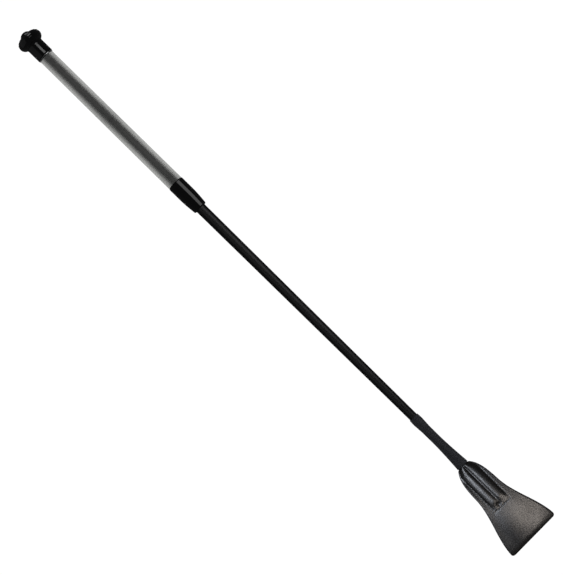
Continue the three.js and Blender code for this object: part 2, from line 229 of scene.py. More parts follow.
def ring_piece(
    name: str,
    rings: np.ndarray,
    relief: np.ndarray | None = None,
    closed_path: bool = True,
) -> bpy.types.Object:
    """Joins closed rings into one shell.

    Vertex (i, j) is point j of ring i. Each quad joins j to j+1 round a ring and i to i+1
    along the rings; the last point joins the first, and so does the last ring when the
    path is closed. The surface coordinates are the distances along and round, in mm.

    Args:
        name: The piece's name.
        rings: Rings by points by xyz, in millimetres.
        relief: Rings by points, 0 in a hollow and 1 on a crown.
        closed_path: Whether the last ring joins the first.

    Returns:
        The finished object.
    """
    rows, cols = rings.shape[:2]
    count = rows if closed_path else rows - 1
    i, j = np.meshgrid(np.arange(count), np.arange(cols), indexing="ij")
    i2, j2 = (i + 1) % rows, (j + 1) % cols
    quads = np.stack([i * cols + j, i * cols + j2, i2 * cols + j2, i2 * cols + j], axis=-1)
    steps_along = np.linalg.norm(np.roll(rings, -1, axis=0) - rings, axis=2).mean(axis=1)
    steps_round = np.linalg.norm(np.roll(rings, -1, axis=1) - rings, axis=2).mean(axis=0)
    along = np.concatenate([[0], np.cumsum(steps_along)])
    around = np.concatenate([[0], np.cumsum(steps_round)])
    u = np.stack([along[i], along[i], along[i + 1], along[i + 1]], axis=-1)
    v = np.stack([around[j], around[j + 1], around[j + 1], around[j]], axis=-1)
    uv = np.stack([u, v], axis=-1)
    return mesh_piece(name, rings.reshape(-1, 3), quads.reshape(-1, 4), uv, relief)


def around_axis(
    station: np.ndarray, wide: np.ndarray, deep: np.ndarray, angle: np.ndarray
) -> np.ndarray:
    """Returns rings of points (station, wide cos angle, deep sin angle) round the axis."""
    y = wide * np.cos(angle)
    return np.stack([station + 0 * y, y, deep * np.sin(angle)], axis=-1)


def turned_rings(profile: np.ndarray, sides: int) -> np.ndarray:
    """Returns rings of points that carry a profile of station and radius round the axis."""
    angle = np.linspace(0, 2 * np.pi, sides, endpoint=False)
    return around_axis(profile[:, :1], profile[:, 1:], profile[:, 1:], angle)


def turned_piece(
    name: str, profile: np.ndarray, spacing: float, sides: int
) -> bpy.types.Object:
    """Turns a closed profile round the axis.

    Args:
        name: The piece's name.
        profile: Station and radius, one row for each point, without the first again.
        spacing: The longest step along the profile.
        sides: Points round each ring.

    Returns:
        The finished object.
    """
    closed = evenly(np.concatenate([profile, profile[:1]]), spacing)[:-1]
    return ring_piece(name, turned_rings(closed, sides))


def arc(
    station: float, radius: float, size: np.ndarray | float, angle: np.ndarray
) -> np.ndarray:
    """Returns an arc of a size round a centre, as rows of station and radius."""
    return np.stack([station + size * np.cos(angle), radius + size * np.sin(angle)], 1)


def rolled_ends(station: np.ndarray, start: float, end: float, size: float) -> np.ndarray:
    """Returns how far a cover rolls in, by a quarter circle at each of its ends."""
    inset = np.clip(np.minimum(station - start, end - station) / size, 0, 1)
    return size * (1 - np.sqrt(1 - (1 - inset) ** 2))


def braid_height(
    station: np.ndarray, angle: np.ndarray, strands: int, pitch: float
) -> np.ndarray:
    """Height of a plain braid of two families of strands that cross over and under.

    One family is numbered by angle * strands / 2pi + station / pitch and the other by the
    same with a minus. The two whole numbers together are even where the first lies on top
    and odd where the second does. The top strand is a half sine across its width, raised
    to the strands' fullness, and sinks where it dives under its neighbours.

    Args:
        station: Distance along the crop, in millimetres.
        angle: Angle round the axis.
        strands: Strands in each family.
        pitch: Distance along the crop from one strand to the next, in millimetres.

    Returns:
        0 between the strands and 1 on a crown.
    """
    left = angle * strands / (2 * np.pi) + station / pitch
    right = angle * strands / (2 * np.pi) - station / pitch
    first_on_top = (np.floor(left) + np.floor(right)) % 2 == 0
    across = np.where(first_on_top, left, right) % 1
    lengthwise = np.where(first_on_top, right, left) % 1
    rise = np.sin(np.pi * across) ** STRAND_FULLNESS
    return rise * (0.5 + 0.5 * np.sin(np.pi * lengthwise))


# ---------------------------------------------------------------- finishes


def add_node(
    tree: bpy.types.NodeTree,
    kind: str,
    settings: dict[str | int, object] | None = None,
    links: dict[str | int, bpy.types.NodeSocket] | None = None,
) -> bpy.types.Node:
    """Adds a node with its settings and links.

    Args:
        tree: The node tree.
        kind: The node's type.
        settings: Values by socket name or number, or by the name of a node option.
        links: Sockets that feed this node, by the name or number of its own socket.

    Returns:
        The new node.
    """
    node = tree.nodes.new(kind)
    options = {k: v for k, v in (settings or {}).items() if isinstance(k, str) and k.islower()}
    for key, value in options.items():
        setattr(node, key, value)
    for key, value in (settings or {}).items():
        if key not in options:
            node.inputs[key].default_value = value
    for key, source in (links or {}).items():
        tree.links.new(source, node.inputs[key])
    return node


@dataclass(frozen=True)
class Finish:
    """A real material with how its surface was made.

    Its colour wanders between its shade and its colour, its roughness by a spread on each
    side, and a fine relief stands up by a depth in millimetres.
    """

    name: str
    slot: str
    colour: str
    shade: str
    roughness: float
    metallic: float = 0.0
    ior: float = 1.5
    sheen: float = 0.0
    sheen_roughness: float = 0.45
    specular: float = 0.5
    spread: float = 0.08
    depth: float = 0.02
    strength: float = 1.0

    def material(self) -> bpy.types.Material:
        """Returns the finish as a material, made once and then shared."""
        found = bpy.data.materials.get(self.name)
        if found:
            return found
        material = bpy.data.materials.new(self.name)
        material.use_nodes = True
        tree = material.node_tree
        shader = tree.nodes["Principled BSDF"]
        shader.inputs["Base Color"].default_value = linear(self.colour)
        shader.inputs["Roughness"].default_value = self.roughness
        shader.inputs["Metallic"].default_value = self.metallic
        shader.inputs["IOR"].default_value = self.ior
        shader.inputs["Specular IOR Level"].default_value = self.specular
        if self.sheen:
            shader.inputs["Sheen Weight"].default_value = self.sheen
            shader.inputs["Sheen Roughness"].default_value = self.sheen_roughness
        material.diffuse_color = linear(self.colour)
        tone, gloss, height = self.patterns(tree)
        blend = add_node(
            tree, "ShaderNodeMix",
            {"data_type": "RGBA", 6: linear(self.shade), 7: linear(self.colour)}, {0: tone},
        )
        ranged = add_node(
            tree, "ShaderNodeMapRange",
            {"To Min": self.roughness - self.spread, "To Max": self.roughness + self.spread},
            {"Value": gloss},
        )
        bump = add_node(
            tree, "ShaderNodeBump", {"Strength": self.strength, "Distance": self.depth * MM},
            {"Height": height},
        )
        tree.links.new(blend.outputs[2], shader.inputs["Base Color"])
        tree.links.new(ranged.outputs["Result"], shader.inputs["Roughness"])
        tree.links.new(bump.outputs["Normal"], shader.inputs["Normal"])
        return material

    def patterns(self, tree: bpy.types.NodeTree) -> tuple[bpy.types.NodeSocket, ...]:
        """Makes the surface's own patterns.

        Args:
            tree: The material's node tree.

        Returns:
            What drives the colour, the roughness and the fine relief, in that order.
        """
        raise NotImplementedError

    def object_mm(self, tree: bpy.types.NodeTree) -> bpy.types.NodeSocket:
        """Returns a place on the crop in millimetres."""
        place = add_node(tree, "ShaderNodeTexCoord")
        scale = add_node(
            tree, "ShaderNodeVectorMath", {"operation": "SCALE", "Scale": 1 / MM},
            {0: place.outputs["Object"]},
        )
        return scale.outputs["Vector"]

    def surface_mm(self, tree: bpy.types.NodeTree) -> bpy.types.NodeSocket:
        """Returns the distances along and round the piece in millimetres."""
        return add_node(tree, "ShaderNodeUVMap", {"uv_map": "surface_mm"}).outputs["UV"]


@dataclass(frozen=True)
class MouldedPlastic(Finish):
    """Polyamide from a mould, as smooth as the mould was polished.

    Its reflections waver a little over the moulding's slow ripple, with faint dull patches
    where hands have been.
    """

    ripple: float = 4.0
    handling: float = 9.0
    spread: float = 0.05
    depth: float = 0.015

    def patterns(self, tree: bpy.types.NodeTree) -> tuple[bpy.types.NodeSocket, ...]:
        """Returns the dull patches of handling, twice, and the mould's ripple."""
        place = self.object_mm(tree)
        ripple = add_node(
            tree, "ShaderNodeTexNoise", {"Scale": 1 / self.ripple, "Detail": 1.0},
            {"Vector": place},
        )
        touch = add_node(
            tree, "ShaderNodeTexNoise", {"Scale": 1 / self.handling, "Detail": 4.0},
            {"Vector": place},
        )
        return touch.outputs["Fac"], touch.outputs["Fac"], ripple.outputs["Fac"]


@dataclass(frozen=True)
class SpunAluminium(Finish):
    """Bright aluminium ring, spun and lightly brushed round its length.

    The fine turning lines draw its highlight out into a thin even line.
    """

    line: float = 0.7536
    depth: float = 0.01
    strength: float = 0.5

    def patterns(self, tree: bpy.types.NodeTree) -> tuple[bpy.types.NodeSocket, ...]:
        """Returns the turning lines round the ring, three times."""
        # The wave texture draws its lines closer than its scale says: here 0.24 mm apart.
        lines = add_node(
            tree, "ShaderNodeTexWave",
            {"wave_type": "BANDS", "bands_direction": "X", "Scale": 1 / self.line,
             "Distortion": 1.5, "Detail": 2.0},
            {"Vector": self.object_mm(tree)},
        )
        return (lines.outputs["Fac"],) * 3


@dataclass(frozen=True)
class WovenYarn(Finish):
    """Yarn braided, sewn or wound over a core.

    Its colour is painted in shade in the gaps between the strands, while the crowns keep the
    full colour, so the surface reads as short slanting dashes; filaments give it a soft
    glitter, and flecks break up its colour.
    """

    filament: float = 0.16
    gap_shade_share: float = 0.55
    fleck: float = 0.0
    fleck_length: float = 1.1
    depth: float = 0.03

    def patterns(self, tree: bpy.types.NodeTree) -> tuple[bpy.types.NodeSocket, ...]:
        """Returns the crowns less the flecks, with painted shade in the gaps, and the filaments,
        twice.
        """
        relief = add_node(
            tree, "ShaderNodeAttribute", {"attribute_name": "relief"}
        ).outputs["Fac"]
        # Painted shade: the colour darkens towards its shade in the gaps between the strands, where
        # the relief is low.
        crown = add_node(
            tree, "ShaderNodeMapRange", {"From Min": 0.0, "From Max": self.gap_shade_share},
            {"Value": relief},
        )
        # Filaments are about 0.02 mm thick; they are drawn many times coarser so that they
        # show, as bundles.
        fibres, flecks = (
            add_node(tree, "ShaderNodeTexNoise", {"Scale": 1 / length, "Detail": 2.0},
                     {"Vector": self.surface_mm(tree)})
            for length in (self.filament, self.fleck_length)
        )
        tone = add_node(
            tree, "ShaderNodeMath",
            {"operation": "MULTIPLY_ADD", "use_clamp": True, 1: -self.fleck},
            {0: flecks.outputs["Fac"], 2: crown.outputs["Result"]},
        )
        return tone.outputs["Value"], fibres.outputs["Fac"], fibres.outputs["Fac"]


@dataclass(frozen=True)
class TopGrainLeather(Finish):
    """Black chrome-tanned calf leather, drum dyed and rolled with a semi-gloss finish.

    The grain is a crowd of fine pebbles with softly raised middles, so broad light breaks
    up into a satin sheen; the dye is a little browner in broad patches.
    """

    pebble: float = 0.7
    pebble_share: float = -3.2
    pore: float = 0.4
    mottle: float = 14.0
    spread: float = 0.06
    depth: float = 0.021

    def patterns(self, tree: bpy.types.NodeTree) -> tuple[bpy.types.NodeSocket, ...]:
        """Returns the uneven dye, twice, and the grain: its pebbles and its fine pores."""
        place = self.object_mm(tree)
        # The pebbles of calf grain are 0.3 to 0.5 mm wide; these are drawn coarser so that
        # they show.
        pebbles = add_node(
            tree, "ShaderNodeTexVoronoi",
            {"feature": "F1", "Scale": 1 / self.pebble, "Randomness": 0.9}, {"Vector": place},
        )
        pores, mottle = (
            add_node(tree, "ShaderNodeTexNoise", {"Scale": 1 / size, "Detail": 3.0},
                     {"Vector": place})
            for size in (self.pore, self.mottle)
        )
        height = add_node(
            tree, "ShaderNodeMath", {"operation": "MULTIPLY_ADD", 1: self.pebble_share},
            {0: pebbles.outputs["Distance"], 2: pores.outputs["Fac"]},
        )
        return mottle.outputs["Fac"], mottle.outputs["Fac"], height.outputs["Value"]


@dataclass(frozen=True)
class DrawnGlassFibre(Finish):
    """Pultruded glass fibre in resin: long straight streaks under a satin skin."""

    stretch: tuple[float, float, float] = (0.02, 2.0, 2.0)

    def patterns(self, tree: bpy.types.NodeTree) -> tuple[bpy.types.NodeSocket, ...]:
        """Returns the streaks of the rovings along the rod, three times."""
        stretch = add_node(
            tree, "ShaderNodeMapping", {"Scale": self.stretch},
            {"Vector": self.object_mm(tree)},
        )
        streaks = add_node(
            tree, "ShaderNodeTexNoise", {"Scale": 1.0, "Detail": 3.0},
            {"Vector": stretch.outputs["Vector"]},
        )
        return (streaks.outputs["Fac"],) * 3


CAP_PLASTIC = MouldedPlastic(
    "polished_moulded_polyamide", "cap_plastic", "0b0b0c", "080809", 0.1, ior=1.53
)
FORMER_PLASTIC = MouldedPlastic(
    "satin_moulded_polyamide", "former_plastic", "6f7172", "646667", 0.5, ior=1.53
)
RING_METAL = SpunAluminium(
    "spun_bright_aluminium", "trim_metal", "d2d3d3", "a9abab", 0.25, metallic=1.0
)
# Each yarn's shade colour is painted shade in the gaps between its strands and turns, and also
# colours its random flecks.
SILVER_YARN = WovenYarn(
    "braided_silvered_yarn", "grip_sleeve", "dfe0dd", "303030", 0.34, metallic=1.0,
    filament=0.5, depth=0.08, gap_shade_share=0.7, fleck=0.45, fleck_length=0.7,
)
SHAFT_NYLON = WovenYarn(
    "tight_braided_nylon", "shaft_braid", "121214", "040404", 0.36, ior=1.53, specular=0.3
)
WHIPPING_THREAD = WovenYarn(
    "waxed_wound_thread", "whipping_yarn", "484a52", "0d0e11", 0.62, sheen=0.04,
    filament=0.45, depth=0.12, fleck=1.1,
)
STITCH_THREAD = WovenYarn(
    "bonded_stitching_thread", "seam_yarn", "121213", "08080a", 0.55
)
FLAP_LEATHER = TopGrainLeather(
    "drum_dyed_calf_leather", "flap_leather", "211d1b", "151413", 0.37
)
TONGUE_LEATHER = TopGrainLeather(
    "split_tongue_leather", "tongue_leather", "2b2522", "201b19", 0.7
)
ROD_FIBRE = DrawnGlassFibre(
    "drawn_glass_fibre", "rod_glass_fibre", "9a9785", "7d7a69", 0.4, ior=1.55
)


def settle(
    piece: bpy.types.Object, finish: Finish, *nodes: str, body: str | None = CROP_BODY
) -> bpy.types.Object:
    """Gives a piece its finish, hides the nodes that it stands for and hangs it on its body.

    Args:
        piece: The finished piece.
        finish: What it is made of.
        nodes: The nodes of the frame that it stands for.
        body: The body it rides on, or None for a piece left on no body.

    Returns:
        The same piece.
    """
    piece.data.materials.append(finish.material())
    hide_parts(*nodes)
    if body:
        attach(piece, body)
    LOG.info("%s: %d faces, %s", piece.name, len(piece.data.polygons), finish.name)
    return piece


# ---------------------------------------------------------------- handle


@dataclass
class ButtCap:
    """The moulded butt cap: button, bulb with its two beads, fillet and neck."""

    bulb_round: float = 5.4
    fillet: float = 2.5
    face_radius: float = 8.6
    face_step: float = 0.4
    face_edge: float = 0.25
    face_ease: float = 0.05
    bead_angles: tuple[float, ...] = (122.0, 143.0)
    bead_spread: float = 3.4
    bead_height: float = 0.22
    neck_radius: float = 8.2
    lip_edge: float = 0.3
    lip_ease: tuple[float, float] = (0.08, 0.07)
    stem_radius: float = 1.3
    rim_round: float = 0.42
    rim_clear: float = 0.35
    rim_base: float = 2.0
    bulb_steps: int = 140
    fillet_steps: int = 16
    dome_steps: int = 40
    cap_spacing: float = 0.6
    button_spacing: float = 0.5
    sides: int = 160

    def face_station(self) -> float:
        """Returns the station of the flat end face."""
        return span("end_cap")[0]

    def bulb_centre(self) -> tuple[float, float]:
        """Returns the station and radius of the middle of the bulb's section."""
        centre = outer_radius("end_cap") - self.bulb_round
        foot = math.sqrt(self.bulb_round**2 - (self.face_radius - centre) ** 2)
        return self.face_station() + self.face_step + foot, centre

    def outside(self) -> np.ndarray:
        """Outer profile from the end face to the open end.

        The bulb is a circle about its centre with two small beads standing on its end
        side; the fillet is a circle that touches both the bulb and the neck.

        Returns:
            Station and radius, one row for each point.
        """
        station, radius = self.bulb_centre()
        opening = span("end_cap")[1]
        rise = self.neck_radius + self.fillet - radius
        reach = self.bulb_round + self.fillet
        fillet_station = station + math.sqrt(reach**2 - rise**2)
        touch = math.atan2(rise, fillet_station - station)
        first = math.pi - math.asin((self.face_radius - radius) / self.bulb_round)
        angle = np.linspace(first, touch, self.bulb_steps)
        degrees = np.degrees(angle)
        beads = sum(bell(degrees - middle, self.bead_spread) for middle in self.bead_angles)
        size = self.bulb_round + self.bead_height * beads
        bulb = arc(station, radius, size, angle)
        angle = np.linspace(math.pi + touch, 1.5 * math.pi, self.fillet_steps)[1:]
        hollow = arc(fillet_station, self.neck_radius + self.fillet, self.fillet, angle)
        end, rim, neck = self.face_station(), self.face_radius, self.neck_radius
        face = np.array([[end, rim - self.face_edge],
                         [end + self.face_ease, rim - self.face_ease],
                         [end + self.face_edge, rim]])
        lip = np.array([[opening - self.lip_edge, neck],
                        [opening - self.lip_ease[0], neck - self.lip_ease[1]],
                        [opening, neck - self.lip_edge]])
        return np.concatenate([face, bulb, hollow, lip])

    def cap(self) -> None:
        """Makes the cap: the outside, the spigot's bore and the bore of the button's stem."""
        opening = span("end_cap")[1]
        floor = opening - FITS.spigot_length - FITS.gap
        stem_bore = self.stem_radius + FITS.gap
        bore = np.array([[opening, FITS.spigot_bore], [floor, FITS.spigot_bore],
                         [floor, stem_bore], [self.face_station(), stem_bore]])
        profile = np.concatenate([self.outside(), bore])
        cap = turned_piece("butt_cap", profile, self.cap_spacing, self.sides)
        settle(cap, CAP_PLASTIC, "end_cap")

    def button(self) -> None:
        """Makes the button, a cap of a sphere with a rounded rim, and its stem."""
        crown, foot = span("cap_button")
        base = self.face_station() - FITS.gap
        height = base - crown
        rim = outer_radius("cap_button")
        sphere = (rim**2 + height**2) / (2 * height)
        angle = np.linspace(0, math.asin(rim / sphere), self.dome_steps)
        dome = np.stack([crown + sphere * (1 - np.cos(angle)), sphere * np.sin(angle)], 1)
        dome = dome[dome[:, 1] < rim - self.rim_clear]
        corners = np.array([dome[-1], [base, rim], [base, rim - self.rim_base]])
        edge = corner_round(corners, [0, self.rim_round, 0])
        stem = np.array([[base, self.stem_radius], [foot, self.stem_radius], [foot, 0.0]])
        profile = evenly(np.concatenate([dome, edge[1:], stem]), self.button_spacing)
        button = ring_piece(
            "cap_dome", turned_rings(profile, self.sides // 2), closed_path=False
        )
        settle(button, CAP_PLASTIC, "cap_button")

    def build(self) -> None:
        """Makes the cap and the button."""
        self.cap()
        self.button()


@dataclass
class Handle:
    """The grip between cap and ferrule: trim ring, silvered sleeve and moulded ferrule."""

    shaft_bore: float = 5.4
    sleeve_wall: float = 0.9
    sleeve_strands: int = 34
    sleeve_pitch: float = 1.45
    sleeve_relief: float = 0.26
    sleeve_edge: float = 0.35
    strand_steps: int = 5
    hoop_steps: int = 25
    hoop_fullness: float = 0.7
    hoop_spacing: float = 0.4
    cap_end_radius: float = 7.45
    taper: float = 19.0
    shoulder_radius: float = 6.8
    shoulder_round: float = 1.1
    shoulder_steps: int = 14
    swell_steps: int = 80
    lip_length: float = 0.4
    lip_points: tuple[tuple[float, float], ...] = ((0.0, 0.3), (0.1, 0.08))
    ferrule_spacing: float = 0.6
    sides: int = 160

    def ring(self) -> None:
        """Makes the trim ring, a half-round hoop between cap and sleeve."""
        start, end = span("trim_ring")
        crown, side = outer_radius("trim_ring"), self.cap_end_radius
        middle, half = (start + end) / 2, (end - start) / 2
        angle = np.linspace(math.pi, 0, self.hoop_steps)
        rise = (crown - side) * np.sin(angle) ** self.hoop_fullness
        hoop = np.stack([middle + half * np.cos(angle), side + rise], 1)
        bore = np.array([[end, FITS.spigot_bore], [start, FITS.spigot_bore]])
        profile = evenly(np.concatenate([hoop, bore]), self.hoop_spacing)
        ring = ring_piece("bright_ring", turned_rings(profile, self.sides))
        settle(ring, RING_METAL, "trim_ring")

    def sleeve(self) -> None:
        """Makes the braided sleeve.

        The outer radius runs evenly between its two ends, less the braid's relief where
        the strands part, and rolls in at both ends; the bore is plain.
        """
        start, end = span("grip_cover")
        rows = int((end - start) / self.sleeve_pitch * self.strand_steps)
        cols = self.sleeve_strands * self.strand_steps
        station = np.linspace(start, end, rows)[:, None]
        angle = np.linspace(0, 2 * np.pi, cols, endpoint=False)[None, :]
        height = braid_height(station, angle, self.sleeve_strands, self.sleeve_pitch)
        share = (station - start) / (end - start)
        body = mix(self.cap_end_radius, outer_radius("grip_cover"), share)
        roll = rolled_ends(station, start, end, self.sleeve_edge)
        radius = body - self.sleeve_relief * (1 - height) - roll
        outer = around_axis(station, radius, radius, angle)
        inner = turned_rings(
            np.array([[end, outer_radius("grip_cover") - self.sleeve_wall],
                      [start, self.cap_end_radius - self.sleeve_wall]]), cols
        )
        relief = np.concatenate([height, np.zeros((2, cols))])
        piece = ring_piece("silver_sleeve", np.concatenate([outer, inner]), relief)
        settle(piece, SILVER_YARN, "grip_cover")

    def ferrule(self) -> None:
        """Makes the ferrule, which swells as a quarter sine from its rounded shoulder."""
        start, end = span("ferrule")
        full = outer_radius("ferrule")
        station = np.linspace(start + self.lip_length, end - self.shoulder_round,
                              self.swell_steps)
        share = np.minimum(1, (end - station) / self.taper)
        radius = mix(self.shoulder_radius, full, np.sin(share * np.pi / 2))
        swell = np.stack([station, radius], 1)
        lip = np.array([[start + along, full - below] for along, below in self.lip_points])
        angle = np.linspace(np.pi / 2, 0, self.shoulder_steps)[1:]
        centre = radius[-1] - self.shoulder_round
        nose = arc(end - self.shoulder_round, centre, self.shoulder_round, angle)
        inside = start + FITS.spigot_length
        bore = np.array([[end, self.shaft_bore], [inside, self.shaft_bore],
                         [inside, FITS.spigot_bore], [start, FITS.spigot_bore]])
        profile = np.concatenate([lip, swell, nose, bore])
        ferrule = turned_piece("shaft_ferrule", profile, self.ferrule_spacing, self.sides)
        settle(ferrule, CAP_PLASTIC, "ferrule")

    def build(self) -> None:
        """Makes the three pieces."""
        self.ring()
        self.sleeve()
        self.ferrule()


# ---------------------------------------------------------------- shaft


@dataclass
class Shaft:
    """The braided cover of the rod and the whipping that binds the flap to it."""

    strands: int = 20
    pitch: float = 1.5
    relief: float = 0.28
    wall: float = 0.75
    crown_lift: float = 0.06
    row_step: float = 0.34
    rod_butt: float = 4.05
    rod_tip: float = 3.0
    rod_end: float = 219.05
    taper_start: float = -96.95
    thread: float = 0.7
    thread_relief: float = 0.28
    thread_wall: float = 0.4
    turn_steps: int = 6
    end_round: float = 0.4
    under_whipping: float = 9.0
    slide_gap: float = 0.25
    neck_half_width: float = 6.2
    neck_half_depth: float = 4.6
    flare: float = 32.0
    flare_power: float = 1.5
    hump: float = 0.3
    hump_place: float = 5.0
    hump_spread: float = 4.0
    bore_rings: int = 24
    whipping_sides: int = 72
    sides: int = 100

    def rod_radius(self, station: np.ndarray | float) -> np.ndarray:
        """Returns the rod's radius, parallel in the handle and tapered from the ferrule."""
        share = (station - self.taper_start) / (self.rod_end - self.taper_start)
        return mix(self.rod_butt, self.rod_tip, np.clip(share, 0, 1))

    def cover(self) -> None:
        """Makes the braid: rod radius, gap and wall, less the relief between strands."""
        start, end = span("braid_cover")
        station = np.linspace(start, end, int((end - start) / self.row_step))[:, None]
        angle = np.linspace(0, 2 * np.pi, self.sides, endpoint=False)[None, :]
        height = braid_height(station, angle, self.strands, self.pitch)
        outer_line = self.rod_radius(station) + FITS.gap + self.wall
        radius = outer_line + self.crown_lift - self.relief * (1 - height)
        outer = around_axis(station, radius, radius, angle)
        stops = np.array([end, self.taper_start, start])
        bore = np.stack([stops, self.rod_radius(stops) + FITS.gap], 1)
        relief = np.concatenate([height, np.zeros((len(stops), self.sides))])
        inner = turned_rings(bore, self.sides)
        piece = ring_piece("shaft_braid", np.concatenate([outer, inner]), relief)
        settle(piece, SHAFT_NYLON, "braid_cover")

    def whipping_bore(self, station: np.ndarray) -> np.ndarray:
        """Half depth inside the whipping.

        It lies on the braid first, eases down to the leather tails on the bare rod and
        then grows to the flap's neck.

        Args:
            station: Distance along the crop, in millimetres.

        Returns:
            The half depth, in millimetres.
        """
        first, neck = span("whipping_thread")
        run = station - first
        over_braid = self.rod_radius(station) + FITS.gap + self.wall + self.slide_gap
        tails = self.rod_radius(neck - FITS.tail_length) + 2 * self.slide_gap + FITS.tail_leather
        leave = smoothstep((run - self.under_whipping - FITS.gap) / self.under_whipping)
        bulk = smoothstep((station - neck + self.flare) / self.flare)
        inner = mix(over_braid, tails, leave)
        return mix(inner, self.neck_half_depth - self.thread_wall, bulk)

    def spread(self, station: np.ndarray) -> np.ndarray:
        """Returns how many times wider than deep the whipping is, growing to the neck."""
        share = (station - span("whipping_thread")[1] + self.flare) / self.flare
        oval = self.neck_half_width / self.neck_half_depth
        return mix(1, oval, np.clip(share, 0, 1) ** self.flare_power)

    def whipping(self) -> None:
        """Makes the whipping.

        Its turns are a helix: the phase is station / thread + angle / 2pi, and each turn
        stands up as a half circle across the thread. Sideways it is spread into an oval.
        """
        start, end = span("whipping_thread")
        rows = int((end - start) / self.thread * self.turn_steps)
        station = np.linspace(start, end, rows)[:, None]
        angle = np.linspace(0, 2 * np.pi, self.whipping_sides, endpoint=False)[None, :]
        phase = (station / self.thread + angle / (2 * np.pi)) % 1
        round_turn = np.sqrt(np.clip(1 - (2 * phase - 1) ** 2, 0, 1))
        lap = bell(station - start - self.hump_place, self.hump_spread) * self.hump
        roll = rolled_ends(station, start, end, self.end_round)
        crown = self.whipping_bore(station) + self.thread_wall + lap
        depth = crown - self.thread_relief * (1 - round_turn) - roll
        outer = around_axis(station, depth * self.spread(station), depth, angle)
        place = station[:: rows // self.bore_rings][::-1]
        bore = self.whipping_bore(place)
        inner = around_axis(place, bore * self.spread(place), bore, angle)
        relief = np.concatenate([round_turn, np.zeros(inner.shape[:2])])
        piece = ring_piece("neck_whipping", np.concatenate([outer, inner]), relief)
        settle(piece, WHIPPING_THREAD, "whipping_thread")

    def build(self) -> None:
        """Makes the braid and the whipping."""
        self.cover()
        self.whipping()


# ---------------------------------------------------------------- flap


class Face(Enum):
    """The two faces of the flap."""

    FRONT = 1
    BACK = -1


@dataclass(frozen=True)
class Swelling:
    """A broad bell-shaped swelling of the leather, or a hollow where the height is below 0."""

    run: float
    y: float
    height: float
    spread: float

    def lift(self, run: np.ndarray, y: np.ndarray) -> np.ndarray:
        """Returns the lift at a place, in millimetres."""
        return self.height * bell(np.hypot(run - self.run, y - self.y), self.spread)


